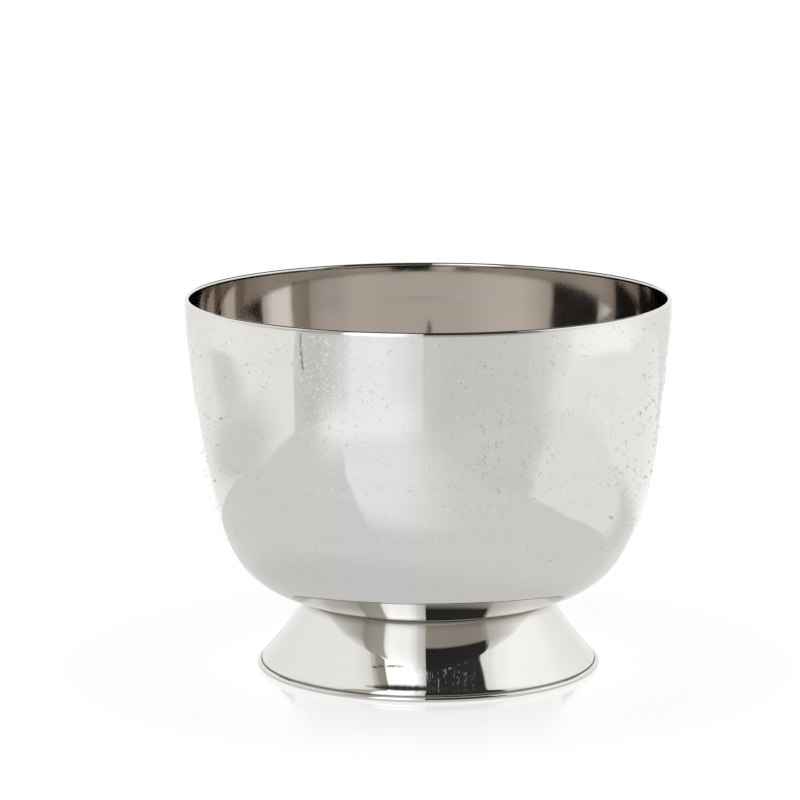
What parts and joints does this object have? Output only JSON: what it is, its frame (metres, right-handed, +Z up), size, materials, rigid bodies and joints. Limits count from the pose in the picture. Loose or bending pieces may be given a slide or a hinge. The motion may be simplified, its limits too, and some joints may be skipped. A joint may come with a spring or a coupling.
{
  "type": "champagne bucket",
  "caption": "Wide round-bottomed bucket with a rolled rim, bolted to a flared hollow foot, for cooling bottles in ice.",
  "frame": {"origin": "centre of the circle on which the foot stands, on the table", "axes": "+Z up along the axis of the bowl; +X and +Y are alike, because the bucket is round; -Y is the side that was seen"},
  "size_m": [0.3799, 0.38, 0.293],
  "materials": {
    "bowl_polish": "mirror-polished stainless steel, beaded outside with condensation",
    "foot_polish": "mirror-polished stainless steel",
    "bright_wire": "bright drawn",
    "gasket_rubber": "matt moulded",
    "plain_fixings": "turned stainless",
    "spring_steel": "dull, tumbled"
  },
  "bodies": {
    "root": {"bowl": "bowl_polish", "rim_wire": "bright_wire", "foot": "foot_polish", "foot_wire": "bright_wire", "gasket": "gasket_rubber", "weld_stud": "plain_fixings", "backing_washer": "plain_fixings", "spring_washer": "spring_steel", "nut": "plain_fixings"}
  },
  "joints": []
}
